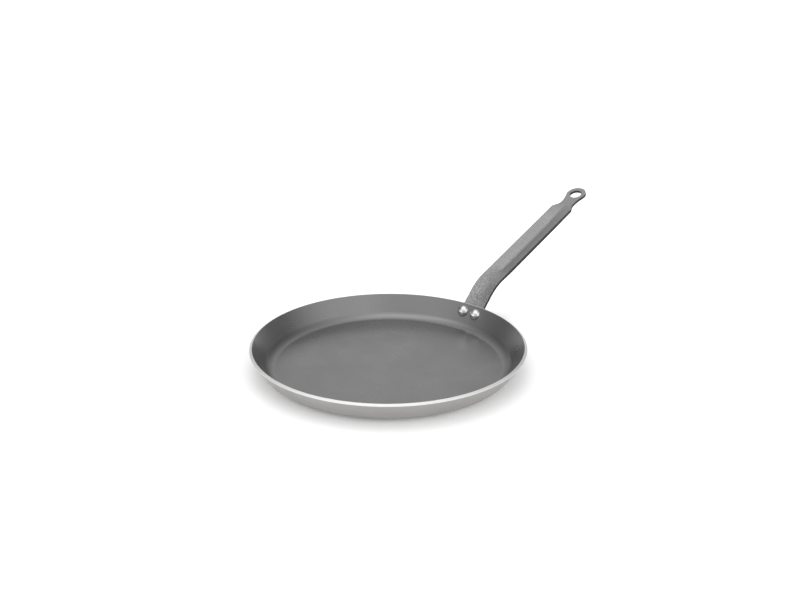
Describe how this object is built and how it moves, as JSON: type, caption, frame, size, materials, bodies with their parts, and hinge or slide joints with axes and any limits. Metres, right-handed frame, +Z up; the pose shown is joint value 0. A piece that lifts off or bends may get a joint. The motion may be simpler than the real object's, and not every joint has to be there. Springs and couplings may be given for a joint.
{
  "type": "crepe pan",
  "caption": "Shallow flared crepe pan with a non-stick coated floor and a riveted trough-shaped strip handle ending in a hanging eye.",
  "frame": {"origin": "centre of the dish's flat base, on the surface that the pan stands on", "axes": "+X from the dish's centre along the handle, +Z up, +Y across the handle"},
  "size_m": [0.452, 0.2596, 0.1086],
  "materials": {
    "dish_aluminium": "satin spun aluminium outside, bright turned rim edge",
    "nonstick_coat": "dark grey satin fluoropolymer coat with very fine grain",
    "handle_paint": "grey hammered epoxy paint on steel strip",
    "rivet_aluminium": "polished dome heads"
  },
  "bodies": {
    "root": {"pan_body": "dish_aluminium", "nonstick_coating": "nonstick_coat", "handle": "handle_paint", "rivet_left": "rivet_aluminium", "rivet_right": "rivet_aluminium"}
  },
  "joints": []
}
